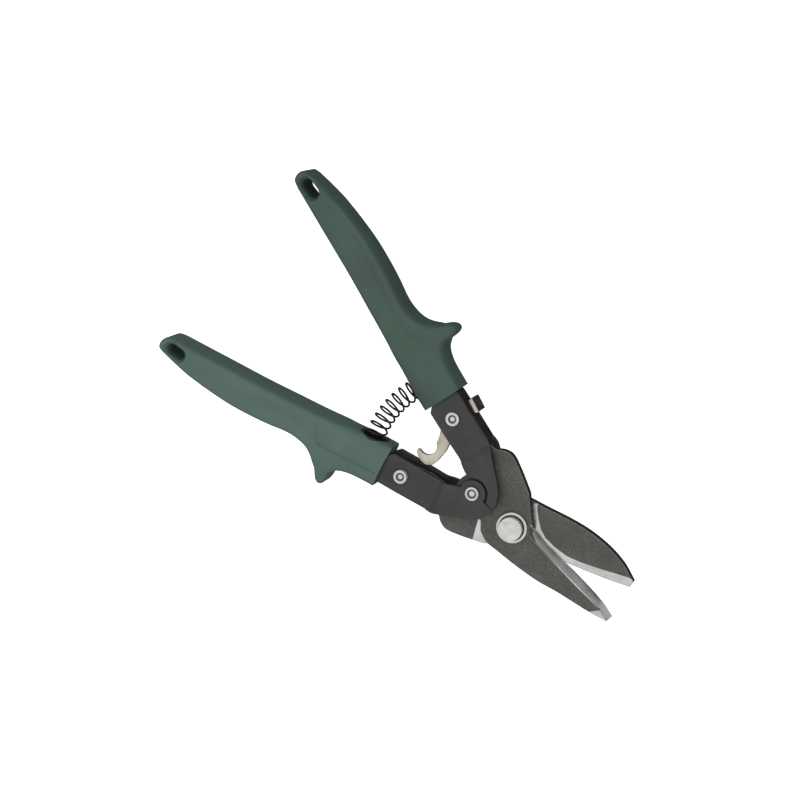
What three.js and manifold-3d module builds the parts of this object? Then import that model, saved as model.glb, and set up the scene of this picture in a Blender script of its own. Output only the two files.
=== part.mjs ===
// Compound-action aviation snips with two sheathed handles, a return spring and a closing latch.
// Units are millimetres. +Z is up and the tool lies flat on its far side at Z = 0.
// The origin is on the main pivot's axis. +X points to the blade tips, +Y to the upper handle.
// The rest pose is fully open. The lower handle is the upper one turned half a turn about X.
import * as THREE from 'three';
import { mergeVertices } from 'three/addons/utils/BufferGeometryUtils.js';
import Module from 'manifold-3d';

const wasm = await Module();
wasm.setup();

// ---- driving dimensions ----
const MID = 10;                     // height of the blades' shear plane above the resting plane
const TANG_PIVOT = [-54.1, 19.1];   // blade tang to handle, mirrored in Y for the lower handle
const HANDLE_PIVOT = [-24, 0];      // handle to handle
const CLEAR = 0.3;                  // gap between neighbouring pieces

const PLATE = 1.8;                  // thickness of the stamped frame
const WEB = 2;                      // thickness of the frame's spine
const CHANNEL_IN = 4.8;             // half the channel's inner width
const CHANNEL_OUT = CHANNEL_IN + PLATE;
const EAR_IN = 7.1;                 // inner face of the ears, past their outward step
const EAR_OUT = EAR_IN + PLATE;
const DISH_IN = 5;                  // inner face of the dished seat round the handle pivot
const DISH_OUT = DISH_IN + PLATE;
const DISH_R = 7.6;
const DISH_RIM_R = 8.8;
const EAR_DISC_R = 6.3;

const BLADE_IN = 0.15;              // the two blades run 0.3 apart
const BLADE_OUT = 4.4;
const GRIP_HALF = 10;
const GRIP_STEPS = [[0, 8.4], [0.5, 9.3], [1.4, GRIP_HALF]];  // inset and half thickness at the edges
const REAR_DIRECTION = 163.4;       // degrees from +X, along the handle's core
const REAR_START = [-62, 21.5];
const REAR_LENGTH = 92;
const REAR_LOW = -4;                // the core's inner and outer edges, across REAR_DIRECTION
const REAR_HIGH = 4.6;

const RIVET_R = 1.7;
const RIVET_HEAD_R = 3.3;
const RIVET_HEAD = 0.8;
const RIVET_GAP = 0.3;
const WASHER_THIN = 0.6;
const HANDLE_RIVET_R = 2.6;
const HANDLE_HEAD_R = 3.3;
const HANDLE_HEAD = 0.8;
const BOLT_R = 5;
const BOLT_THREAD_R = 4;
const BOLT_HEAD_R = 5.6;
const BOLT_HEAD_TOP = 9;
const WASHER_R = 7.4;
const WASHER_TOP = 6;
const NUT_ACROSS_FLATS = 13;
const OPEN_PIVOT_CLEAR = 0.6;       // the rear blade's hole runs this much clear of the bolt

const LATCH_THICK = 2.4;
const LATCH_OFFSET = 1;             // the lever's and hook's faces next to the shear plane
const LATCH_REACH = 19.1;           // tang pivot to the centre of the hook's mouth
const LATCH_ANGLE = -91.5;
const HOOK_R = 4.3;
const JOGGLE = [8, 10.1];            // the lever shifts from one side of the shear plane to the other here
const LATCH_BOSS_R = 5;
const SLOT_CLEAR = 0.4;             // round the lever where it passes through the spine
const TAB_HALF = 6;
const SPACER_R = 4;
const SPACER = [3.7, 4.5];          // the thin washers' faces, from the shear plane

const CUP_FACE = [-76.8, 15.6];     // where the spring cup meets the grip's inner face
const CUP_TILT = 20;                // degrees the cup's axis leans from Y
const CUP_R = 6.2;
const CUP_BORE_R = 5.5;
const CUP_DEPTH = 4.7;
const CUP_FLOOR = 0.8;
const CUP_FLANGE_R = 7;
const CUP_FLANGE = 0.9;
const CUP_SINK = 0.1;               // the flange lies this far under the grip's face
const SPRING_R = 4.65;              // coil centre line
const WIRE_R = 0.5;
const SPRING_TURNS = 9.5;
const SPRING_BOW = -83;             // X that the spring's bowed axis is pulled towards

// ---- geometry helpers ----
const toRadians = (degrees) => degrees * Math.PI / 180;
const polar = (centre, radius, degrees) => [
  centre[0] + radius * Math.cos(toRadians(degrees)),
  centre[1] + radius * Math.sin(toRadians(degrees)),
];

function solid(geometry) {
  const bare = geometry.index ? geometry.toNonIndexed() : geometry.clone();
  bare.deleteAttribute('normal');
  bare.deleteAttribute('uv');
  const merged = mergeVertices(bare, 1e-4);
  return new wasm.Manifold(new wasm.Mesh({
    numProp: 3,
    vertProperties: new Float32Array(merged.attributes.position.array),
    triVerts: new Uint32Array(merged.index.array),
  }));
}

function shapeOf(points) {
  return new THREE.Shape(points.map(([x, y]) => new THREE.Vector2(x, y)));
}

function plate(points, low, high) {
  const geometry = new THREE.ExtrudeGeometry(shapeOf(points), {
    depth: high - low, bevelEnabled: false, curveSegments: 10,
  });
  return solid(geometry.translate(0, 0, low));
}

function disc(centre, radius, low, high, sides = 32) {
  const geometry = new THREE.CylinderGeometry(radius, radius, high - low, sides);
  geometry.rotateX(Math.PI / 2).translate(centre[0], centre[1], (low + high) / 2);
  return solid(geometry);
}

function smooth(points, divisions) {
  const curve = new THREE.SplineCurve(points.map(([x, y]) => new THREE.Vector2(x, y)));
  return curve.getPoints(divisions).map((p) => [p.x, p.y]);
}

function arc(centre, radius, from, to, steps) {
  return Array.from({ length: steps + 1 }, (_, i) => polar(centre, radius, from + (to - from) * i / steps));
}

function mesh(name, manifold, colour, roughness, metalness) {
  const { vertProperties, triVerts } = manifold.getMesh();
  const geometry = new THREE.BufferGeometry();
  geometry.setAttribute('position', new THREE.BufferAttribute(new Float32Array(vertProperties), 3));
  geometry.setIndex(new THREE.BufferAttribute(new Uint32Array(triVerts), 1));
  const material = new THREE.MeshStandardMaterial({ color: colour, roughness, metalness });
  const result = new THREE.Mesh(geometry, material);
  result.name = name;
  return result;
}

const greenSleeve = (name, part) => mesh(name, part, 0x546a60, 0.55, 0);
const blackFrame = (name, part) => mesh(name, part, 0x2c2c2e, 0.45, 0.6);
const darkBlade = (name, part) => mesh(name, part, 0x55544f, 0.5, 0.8);
const brightSteel = (name, part) => mesh(name, part, 0xc8c8c6, 0.3, 1);
const nickel = (name, part) => mesh(name, part, 0xb9b3a6, 0.28, 1);
const blackPlastic = (name, part) => mesh(name, part, 0x161616, 0.5, 0);

// A point in the handle core's own axes: along it from its start, and across it outwards.
function corePoint(along, across) {
  const onAxis = polar(REAR_START, along, REAR_DIRECTION);
  return polar(onAxis, across, REAR_DIRECTION - 90);
}

// ---- handle frame: one stamped channel with two stepped ears ----
const BEND_INNER = [-37.8, 6.9];
const BEND_OUTER = [-32.7, 22.1];

function frameOutline(grow) {
  return [
    BEND_OUTER, [-36, 23.3], [-50.3, 27.3 + grow], [-60.7, 30 + grow],
    corePoint(13, REAR_HIGH + grow), corePoint(REAR_LENGTH + grow, REAR_HIGH + grow),
    corePoint(REAR_LENGTH + grow, REAR_LOW - grow), corePoint(13, REAR_LOW - grow),
    [-66.6, 18.6 - grow], [-63.6, 13.4 - grow], [-52, 10.3 - grow], BEND_INNER,
  ];
}

function channelHollow() {
  const [dx, dy] = polar([0, 0], WEB, REAR_DIRECTION - 90);
  return plate([
    [-20, 40], [-36, 40], [-36, 23.3 - dy], [-50.3 - dx, 27.3 - dy], [-60.7 - dx, 30 - dy],
    corePoint(13, REAR_HIGH - WEB), corePoint(REAR_LENGTH + 5, REAR_HIGH - WEB),
    corePoint(REAR_LENGTH + 5, -20), [-40, -10], [-20, -10],
  ], -CHANNEL_IN, CHANNEL_IN);
}

const STEP_RUN = 1.4;               // the outward step's reach to each side of its bend line
const STEP_BAND = [
  polar(BEND_INNER, STEP_RUN, REAR_DIRECTION), polar(BEND_OUTER, STEP_RUN, REAR_DIRECTION),
  polar(BEND_OUTER, STEP_RUN, REAR_DIRECTION - 180), polar(BEND_INNER, STEP_RUN, REAR_DIRECTION - 180),
];
const EAR_SHOULDER = [BEND_OUTER, [-26.6, 17.7], [-18.6, 11.9], [-14.6, 8.1], [-12.3, 3.6]];
const STOP_FACE = 0.9;              // the dished ear's open-stop edge above the tool's axis

function dishedEar() {
  const outline = [BEND_INNER, ...EAR_SHOULDER, [-11.7, STOP_FACE], [-24, STOP_FACE], [-30.5, 4]];
  const wall = disc(HANDLE_PIVOT, DISH_RIM_R, DISH_IN, EAR_OUT)
    .intersect(plate(outline, DISH_IN, EAR_OUT));
  return plate(outline, EAR_IN, EAR_OUT).add(wall)
    .add(disc(HANDLE_PIVOT, DISH_RIM_R, DISH_IN, DISH_OUT))
    .subtract(disc(HANDLE_PIVOT, DISH_R, DISH_OUT, EAR_OUT + 1));
}

function discEar() {
  const stop = -STOP_FACE + CLEAR;
  const outline = [BEND_INNER, ...EAR_SHOULDER, [-11.7, stop], [-20, stop], [-31.1, 2.2]];
  return plate(outline, -EAR_OUT, -EAR_IN)
    .add(disc(HANDLE_PIVOT, EAR_DISC_R, -EAR_OUT, -EAR_IN));
}

const LATCH_SLOT = [[-56.6, 22], [-45.6, 22], [-45.6, 31], [-56.6, 31]];

function handleFrame() {
  return plate(frameOutline(0), -CHANNEL_OUT, CHANNEL_OUT)
    .subtract(channelHollow())
    .add(plate(STEP_BAND, CHANNEL_IN, EAR_OUT))
    .add(plate(STEP_BAND, -EAR_OUT, -CHANNEL_IN))
    .add(dishedEar())
    .add(discEar())
    .subtract(plate(LATCH_SLOT, -LATCH_OFFSET - LATCH_THICK - SLOT_CLEAR, -LATCH_OFFSET + SLOT_CLEAR))
    .subtract(disc(HANDLE_PIVOT, HANDLE_RIVET_R + CLEAR, -GRIP_HALF, GRIP_HALF, 24))
    .subtract(disc(TANG_PIVOT, RIVET_R + CLEAR, -GRIP_HALF, GRIP_HALF, 20));
}

// ---- sleeve-like grip with a finger stop and a hanging hole ----
const GRIP_OUTER = [
  [-180, 57.6], [-172, 57.6], [-162, 57.1], [-151, 55.6], [-138, 53], [-126.5, 49.6], [-117, 46.2],
  [-110.4, 43.4], [-104.7, 41.8], [-98.4, 41.4], [-93.5, 42.8], [-88, 46.3],
];
const FINGER_STOP = [[-88, 46.3], [-85, 50.2], [-82.4, 51.6], [-80.4, 50.8], [-79.9, 48.3], [-80.8, 43.6]];
const GRIP_NECK = [[-80.8, 43.6], [-78.7, 39.6], [-74.2, 36.6], [-68, 34.3], [-61, 32.2]];
const GRIP_INNER = [
  [-66.3, 12.3], [-72.9, 14.1], [-85, 18.4], [-100.5, 24.4], [-118, 30.2], [-134.5, 35.6], [-152, 40.8],
  [-168.7, 45.8], [-179.2, 48.9],
];
const GRIP_END = [[-179.2, 48.9], [-182.9, 50.8], [-183.9, 54], [-182.8, 56.9], [-180, 57.6]];
const HANG_HOLE = [-174.8, 53];
const HANG_HOLE_R = 2.7;
const HANG_HOLE_HALF = 2.2;         // from the hole's middle to the centres of its round ends
const HANG_HOLE_TILT = 172;

function gripOutline() {
  return [
    ...smooth(GRIP_OUTER, 22).slice(0, -1), ...smooth(FINGER_STOP, 10).slice(0, -1),
    ...smooth(GRIP_NECK, 6), ...smooth(GRIP_INNER, 14).slice(0, -1), ...smooth(GRIP_END, 8).slice(0, -1),
  ];
}

function insetPoints(points, inset) {
  const count = points.length;
  return points.map((point, i) => {
    const before = points[(i + count - 1) % count];
    const after = points[(i + 1) % count];
    const run = Math.hypot(after[0] - before[0], after[1] - before[1]);
    return [point[0] + (after[1] - before[1]) / run * inset, point[1] - (after[0] - before[0]) / run * inset];
  });
}

function cupCylinder(radius, from, to, sides = 28) {
  const geometry = new THREE.CylinderGeometry(radius, radius, to - from, sides);
  geometry.translate(0, (from + to) / 2, 0).rotateZ(-toRadians(CUP_TILT)).translate(...CUP_FACE, 0);
  return solid(geometry);
}

function grip() {
  const outline = gripOutline();
  const [body, ...steps] = GRIP_STEPS.map(([inset, half]) => plate(insetPoints(outline, inset), -half, half));
  const [endA, endB] = [0, 180].map((turn) => polar(HANG_HOLE, HANG_HOLE_HALF, HANG_HOLE_TILT + turn));
  const hangHole = plate([
    ...arc(endA, HANG_HOLE_R, HANG_HOLE_TILT - 90, HANG_HOLE_TILT + 90, 8),
    ...arc(endB, HANG_HOLE_R, HANG_HOLE_TILT + 90, HANG_HOLE_TILT + 270, 8),
  ], -GRIP_HALF - 1, GRIP_HALF + 1);
  return steps.reduce((sum, step) => sum.add(step), body)
    .subtract(plate(frameOutline(CLEAR), -CHANNEL_OUT - CLEAR, CHANNEL_OUT + CLEAR))
    .subtract(cupCylinder(CUP_R + CLEAR, -3, CUP_DEPTH + CLEAR))
    .subtract(cupCylinder(CUP_FLANGE_R + CLEAR, -3, CUP_SINK + CUP_FLANGE + CLEAR))
    .subtract(hangHole);
}

function springCup() {
  return cupCylinder(CUP_R, CUP_SINK, CUP_DEPTH)
    .add(cupCylinder(CUP_FLANGE_R, CUP_SINK, CUP_SINK + CUP_FLANGE))
    .subtract(cupCylinder(CUP_BORE_R, -3, CUP_DEPTH - CUP_FLOOR));
}

// ---- blades ----
// The tang and the round body about the bolt are alike; each jaw has its own outline.
const TANG_OUTER = [
  [-37.4, 20.4], [-34.4, 21.8], [-29.9, 22.4], [-26.5, 24.6], [-22.2, 25.4], [-15.8, 23], [-10.2, 20.3],
  [-4.7, 17.5],
];
const TANG_INNER = [
  [-13.4, -7.8], [-17.4, -2.5], [-18.7, 2.5], [-19.2, 5.8], [-21.5, 7.2], [-25, 7.6], [-33, 8.2], [-44, 9.6],
];
const FRONT_EDGE = [[8.4, 5.6], [19, 4.4], [40, 3.9], [53.3, 2.9], [61.6, 0.9]];
const FRONT_BACK = [
  [61.2, -1.6], [52.3, -4.2], [36.1, -7.8], [25.1, -10.8], [13.1, -12.7], [3, -13.7], [-4.1, -14.2],
  [-9.6, -12.2],
];
const REAR_EDGE = [[8.4, 5.6], [12.5, 3.6], [18, 0.9], [28.2, -3.8], [46.7, -11.5], [58.1, -17.1]];
const REAR_BACK = [
  [57.6, -19.9], [48.7, -22.8], [38.8, -23.8], [27.9, -23], [17.4, -20.6], [5.8, -16.9], [-3.9, -14],
  [-9.6, -12.2],
];
const BEVEL_RUN = 2.6;              // how far the ground face falls back across the blade
const EDGE_LAND = 0.1;
const TANG_R = 6;

function bladeOutline(edge, back) {
  const outerEnd = REAR_DIRECTION - 90;
  return [
    ...arc(TANG_PIVOT, TANG_R, outerEnd, outerEnd + 180, 8),
    ...[...TANG_INNER].reverse(), ...[...back].reverse(), ...[...edge].reverse(),
    [5.1, 8.2], [0, 13], ...[...TANG_OUTER].reverse(),
  ];
}

// Everything outside the ground face that falls back from one straight stretch of a cutting edge.
function bevelCut(from, to) {
  const along = new THREE.Vector3(to[0] - from[0], to[1] - from[1], 0);
  const length = along.length();
  const up = new THREE.Vector3(0, 0, 1);
  along.normalize();
  const top = BLADE_OUT + 1;
  const run = BEVEL_RUN * (top - BLADE_IN) / (BLADE_OUT - BLADE_IN);
  const section = shapeOf([[0, BLADE_IN + EDGE_LAND], [8, BLADE_IN + EDGE_LAND], [8, top], [-run, top]]);
  const geometry = new THREE.ExtrudeGeometry(section, { depth: length, bevelEnabled: false });
  geometry.applyMatrix4(new THREE.Matrix4().makeBasis(up.clone().cross(along), up, along));
  return solid(geometry.translate(from[0], from[1], 0));
}

function blade(edge, back, boltHole) {
  const corners = [edge[0], edge[Math.floor(edge.length / 2)], edge.at(-1)];
  return plate(bladeOutline(edge, back), BLADE_IN, BLADE_OUT)
    .subtract(disc([0, 0], boltHole, -1, BLADE_OUT + 1))
    .subtract(disc(TANG_PIVOT, RIVET_R + CLEAR, -1, BLADE_OUT + 1, 20))
    .subtract(bevelCut(corners[0], corners[1]))
    .subtract(bevelCut(corners[1], corners[2]));
}

// ---- fasteners ----
function ring(centre, outer, inner, low, high, sides = 32) {
  return disc(centre, outer, low, high, sides).subtract(disc(centre, inner, low - 1, high + 1, sides));
}

function pivotBolt() {
  return disc([0, 0], BOLT_HEAD_R, WASHER_TOP + CLEAR, BOLT_HEAD_TOP)
    .add(disc([0, 0], BOLT_R, -BLADE_OUT, BOLT_HEAD_TOP - 1))
    .add(disc([0, 0], BOLT_THREAD_R, -MID, 0));
}

function rivet(centre, radius, headRadius, near, far, head) {
  return disc(centre, radius, far, near, 24)
    .add(disc(centre, headRadius, near - head, near, 24))
    .add(disc(centre, headRadius, far, far + head, 24));
}

// ---- closing latch: a joggled lever on the upper tang rivet ----
// Its hook lies beside the lower tang, so it can close round the lower tang rivet.
function latchLever() {
  const mouth = polar(TANG_PIVOT, LATCH_REACH, LATCH_ANGLE);
  const low = -LATCH_OFFSET - LATCH_THICK;
  const [joggleLow, joggleHigh] = JOGGLE;
  const arm = plate([
    polar(TANG_PIVOT, LATCH_BOSS_R, 200), [-55.4, joggleHigh], [-54.1, joggleLow], [-49, joggleLow],
    polar(TANG_PIVOT, LATCH_BOSS_R, 340), [-48.6, 28.9], [-54.2, 31],
  ], low, -LATCH_OFFSET);
  const boss = disc(TANG_PIVOT, LATCH_BOSS_R, low, -LATCH_OFFSET, 24);
  const joggle = plate([
    [-55.4, joggleHigh], [-54.1, joggleLow], [-49, joggleLow], [-49, joggleHigh],
  ], low, -low);
  const hook = plate([
    [-55.4, joggleHigh], [-54.1, joggleLow], [-52.9, 5.2], ...arc(mouth, HOOK_R, 60, -112, 10),
    [-57.2, -4.6], [-56.8, -6], [-53.2, -8], [-49.5, -8], [-47.2, -6], [-46.4, -2.5], [-46.6, 4], [-47.6, 7.8],
    [-49, joggleHigh],
  ], LATCH_OFFSET, -low);
  const tab = plate([[-54.8, 30.8], [-48.1, 28.3], [-47.4, 30.1], [-54.1, 32.6]], -TAB_HALF, TAB_HALF);
  return arm.add(boss).add(joggle).add(hook).add(tab)
    .subtract(disc(TANG_PIVOT, RIVET_R + CLEAR, -CHANNEL_OUT, CHANNEL_OUT, 20));
}

// ---- return spring on a bowed axis between the two cups ----
class SpringCurve extends THREE.Curve {
  constructor() {
    super();
    const seat = CUP_DEPTH - CUP_FLOOR - CLEAR - WIRE_R;
    const tilt = toRadians(CUP_TILT);
    const [x, y] = [CUP_FACE[0] + seat * Math.sin(tilt), CUP_FACE[1] + seat * Math.cos(tilt)];
    this.axis = new THREE.QuadraticBezierCurve3(
      new THREE.Vector3(x, y, 0), new THREE.Vector3(SPRING_BOW, 0, 0), new THREE.Vector3(x, -y, 0),
    );
  }

  getPoint(t) {
    const centre = this.axis.getPoint(t);
    const tangent = this.axis.getTangent(t);
    const turn = 2 * Math.PI * SPRING_TURNS * t;
    const across = new THREE.Vector3(-tangent.y, tangent.x, 0).multiplyScalar(SPRING_R * Math.cos(turn));
    return centre.add(across).add(new THREE.Vector3(0, 0, SPRING_R * Math.sin(turn)));
  }
}

function returnSpring() {
  const section = new THREE.Shape().absarc(0, 0, WIRE_R, 0, 2 * Math.PI);
  return solid(new THREE.ExtrudeGeometry(section, {
    steps: Math.round(SPRING_TURNS * 12), extrudePath: new SpringCurve(), curveSegments: 3, bevelEnabled: false,
  }));
}

// ---- assembly ----
const rivetFar = -CHANNEL_OUT - WASHER_THIN - RIVET_HEAD - 2 * RIVET_GAP;

function handleParts(side) {
  const rivetNear = CHANNEL_OUT + RIVET_GAP + RIVET_HEAD;
  const tangRivet = rivet(TANG_PIVOT, RIVET_R, RIVET_HEAD_R, rivetNear, rivetFar, RIVET_HEAD);
  const washerTop = -CHANNEL_OUT - RIVET_GAP;
  return [
    blackFrame(`${side}_handle_frame`, handleFrame()),
    greenSleeve(`${side}_grip`, grip()),
    blackPlastic(`${side}_spring_cup`, springCup()),
    brightSteel(`${side}_tang_rivet`, tangRivet),
    brightSteel(`${side}_rivet_washer`,
      ring(TANG_PIVOT, RIVET_HEAD_R, RIVET_R + CLEAR, washerTop - WASHER_THIN, washerTop, 24)),
  ];
}

const upper = new THREE.Group();
upper.add(
  ...handleParts('upper'),
  darkBlade('front_blade', blade(FRONT_EDGE, FRONT_BACK, BOLT_R + CLEAR)),
  nickel('latch_lever', latchLever()),
  brightSteel('latch_washer', ring(TANG_PIVOT, SPACER_R, RIVET_R + CLEAR, -SPACER[1], -SPACER[0], 24)),
);

const lower = new THREE.Group();
lower.rotation.x = Math.PI;
lower.add(
  ...handleParts('lower'),
  darkBlade('rear_blade', blade(REAR_EDGE, REAR_BACK, BOLT_R + OPEN_PIVOT_CLEAR)),
  brightSteel('tang_spacer', ring(TANG_PIVOT, SPACER_R, RIVET_R + CLEAR, -SPACER[1], -SPACER[0], 24)),
);

const snips = new THREE.Group();
snips.position.z = MID;
snips.add(
  upper, lower,
  brightSteel('handle_rivet',
    rivet(HANDLE_PIVOT, HANDLE_RIVET_R, HANDLE_HEAD_R, GRIP_HALF, -GRIP_HALF, HANDLE_HEAD)),
  brightSteel('pivot_bolt', pivotBolt()),
  brightSteel('front_washer', ring([0, 0], WASHER_R, BOLT_R + CLEAR, BLADE_OUT + CLEAR, WASHER_TOP)),
  brightSteel('rear_washer', ring([0, 0], WASHER_R, BOLT_THREAD_R + CLEAR, -WASHER_TOP, -BLADE_OUT - CLEAR)),
  brightSteel('pivot_nut', disc([0, 0], NUT_ACROSS_FLATS / Math.sqrt(3), -MID, -WASHER_TOP - CLEAR, 6)
    .subtract(disc([0, 0], BOLT_THREAD_R + CLEAR, -MID - 1, 0))),
  blackPlastic('return_spring', returnSpring()),
);

export default snips;
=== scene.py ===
"""Aviation snips: the visual model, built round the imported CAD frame.

Shapes are written in millimetres about the blades' shear plane, as for the upper handle and the front
blade. The lower handle and the rear blade are the same forms turned half a turn about X.
"""
import math

import bmesh
import bpy
import numpy as np
from mathutils import Matrix, Vector
from mathutils.geometry import delaunay_2d_cdt


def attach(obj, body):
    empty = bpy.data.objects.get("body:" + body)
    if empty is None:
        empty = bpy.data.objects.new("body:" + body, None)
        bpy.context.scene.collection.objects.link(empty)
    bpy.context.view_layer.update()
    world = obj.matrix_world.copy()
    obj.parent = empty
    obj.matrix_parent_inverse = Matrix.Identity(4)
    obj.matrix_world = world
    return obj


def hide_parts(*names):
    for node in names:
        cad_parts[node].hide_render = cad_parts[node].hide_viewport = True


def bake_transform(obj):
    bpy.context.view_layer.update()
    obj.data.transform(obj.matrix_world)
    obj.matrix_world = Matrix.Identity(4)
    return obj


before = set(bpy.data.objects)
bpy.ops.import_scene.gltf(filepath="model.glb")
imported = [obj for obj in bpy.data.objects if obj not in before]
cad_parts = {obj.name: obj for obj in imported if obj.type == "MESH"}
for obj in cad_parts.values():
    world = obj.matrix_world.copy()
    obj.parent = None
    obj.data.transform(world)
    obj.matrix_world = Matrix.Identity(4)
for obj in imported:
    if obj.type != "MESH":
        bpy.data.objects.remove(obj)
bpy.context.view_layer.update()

MM = 0.001
MID = 10.0                      # height of the shear plane above the resting plane
TANG = (-54.1, 19.1)            # blade tang to handle
HINGE = (-24.0, 0.0)            # handle to handle
BOLT = (0.0, 0.0)
CLEAR = 0.3                     # round a part that passes through or sits in another
SHARP = math.radians(32)        # an edge that turns more than this is shaded as a crease
LATHE_STEPS = 72
RING_SHARES = (0.08, 0.3, 0.62, 1.0)    # rings of points over a rounded edge, as shares of its radius
ROW = 0.87                      # height of a row of even triangles, as a share of their side
THINNEST = 0.02
UPPER = Matrix.Identity(4)
LOWER = Matrix.Rotation(math.pi, 4, "X")


# ---- plane geometry ----
def polar(centre, radius, degrees):
    turn = math.radians(degrees)
    return (centre[0] + radius * math.cos(turn), centre[1] + radius * math.sin(turn))


def arc(centre, radius, start, end, steps):
    return [polar(centre, radius, start + (end - start) * i / steps) for i in range(steps + 1)]


def circle(centre, radius, steps=64):
    return arc(centre, radius, 0, 360, steps)[:-1]


def smooth(points, per_span=5):
    """A Catmull-Rom curve through the points, both ends kept."""
    p = np.array(points, float)
    p = np.vstack([2 * p[0] - p[1], p, 2 * p[-1] - p[-2]])
    made = []
    for i in range(1, len(p) - 2):
        for t in np.arange(per_span) / per_span:
            made.append(0.5 * (2 * p[i] + (p[i + 1] - p[i - 1]) * t
                               + (2 * p[i - 1] - 5 * p[i] + 4 * p[i + 1] - p[i + 2]) * t ** 2
                               + (3 * p[i] - p[i - 1] - 3 * p[i + 1] + p[i + 2]) * t ** 3))
    return [tuple(q) for q in made] + [tuple(p[-2])]


def rounded(points, radius, steps=5, closed=True):
    """The outline with each corner turned into a small curve."""
    p = [Vector(q) for q in points]
    made = []
    for i, corner in enumerate(p):
        if not closed and i in (0, len(p) - 1):
            made.append(tuple(corner))
            continue
        before, after = p[i - 1] - corner, p[(i + 1) % len(p)] - corner
        cut = min(radius, before.length * 0.45, after.length * 0.45)
        a, b = corner + before.normalized() * cut, corner + after.normalized() * cut
        for k in range(steps + 1):
            t = k / steps
            made.append(tuple(a * (1 - t) ** 2 + corner * 2 * t * (1 - t) + b * t ** 2))
    return made


def resampled(loop, spacing, closed=True):
    p = np.array(loop, float)
    ends = np.roll(p, -1, 0) if closed else p[1:]
    made = []
    for a, b in zip(p, ends):
        count = max(1, math.ceil(np.linalg.norm(b - a) / spacing))
        made += [a + (b - a) * k / count for k in range(count)]
    if not closed:
        made.append(p[-1])
    made = np.array(made)
    step = np.linalg.norm(made - np.roll(made, 1, 0), axis=1)
    return made[step > 1e-4]


def distance(points, line, closed=False):
    a = np.array(line, float)
    b = np.roll(a, -1, 0) if closed else a[1:]
    a = a if closed else a[:-1]
    best = np.full(len(points), 1e9)
    for p, q in zip(a, b):
        d = q - p
        t = np.clip(((points - p) @ d) / max(d @ d, 1e-12), 0, 1)
        best = np.minimum(best, np.linalg.norm(points - p - t[:, None] * d, axis=1))
    return best


def inside(points, loop):
    a = np.array(loop, float)
    b = np.roll(a, -1, 0)
    x, y = points[:, 0], points[:, 1]
    found = np.zeros(len(points), bool)
    for (x0, y0), (x1, y1) in zip(a, b):
        if y0 != y1:
            found ^= ((y0 > y) != (y1 > y)) & (x < (x1 - x0) * (y - y0) / (y1 - y0) + x0)
    return found


def ramp(values, low, high):
    return np.clip((values - low) / (high - low), 0, 1)


def ease(values, low, high):
    t = ramp(values, low, high)
    return t * t * (3 - 2 * t)


def quarter_round(d, radius):
    """How far a face has dropped at distance d inside a rounded edge."""
    return radius - np.sqrt(np.maximum(radius ** 2 - np.maximum(radius - d, 0) ** 2, 0))


# ---- meshes ----
def finished(name, verts, faces, turn=UPPER, index=None):
    """An object in the part's frame, in metres, from points in millimetres about the shear plane."""
    mesh = bpy.data.meshes.new(name)
    mesh.from_pydata([tuple(v) for v in verts], [], faces)
    mesh.transform(Matrix.Scale(MM, 4) @ Matrix.Translation((0, 0, MID)) @ turn)
    if index is not None:
        mesh.polygons.foreach_set("material_index", index)
    made = bpy.data.objects.new(name, mesh)
    bpy.context.scene.collection.objects.link(made)
    shade(made)
    return made


def shade(made):
    work = bmesh.new()
    work.from_mesh(made.data)
    bmesh.ops.recalc_face_normals(work, faces=work.faces)
    for face in work.faces:
        face.smooth = True
    for edge in work.edges:
        edge.smooth = len(edge.link_faces) == 2 and edge.calc_face_angle(0) < SHARP
    work.to_mesh(made.data)
    work.free()


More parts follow.
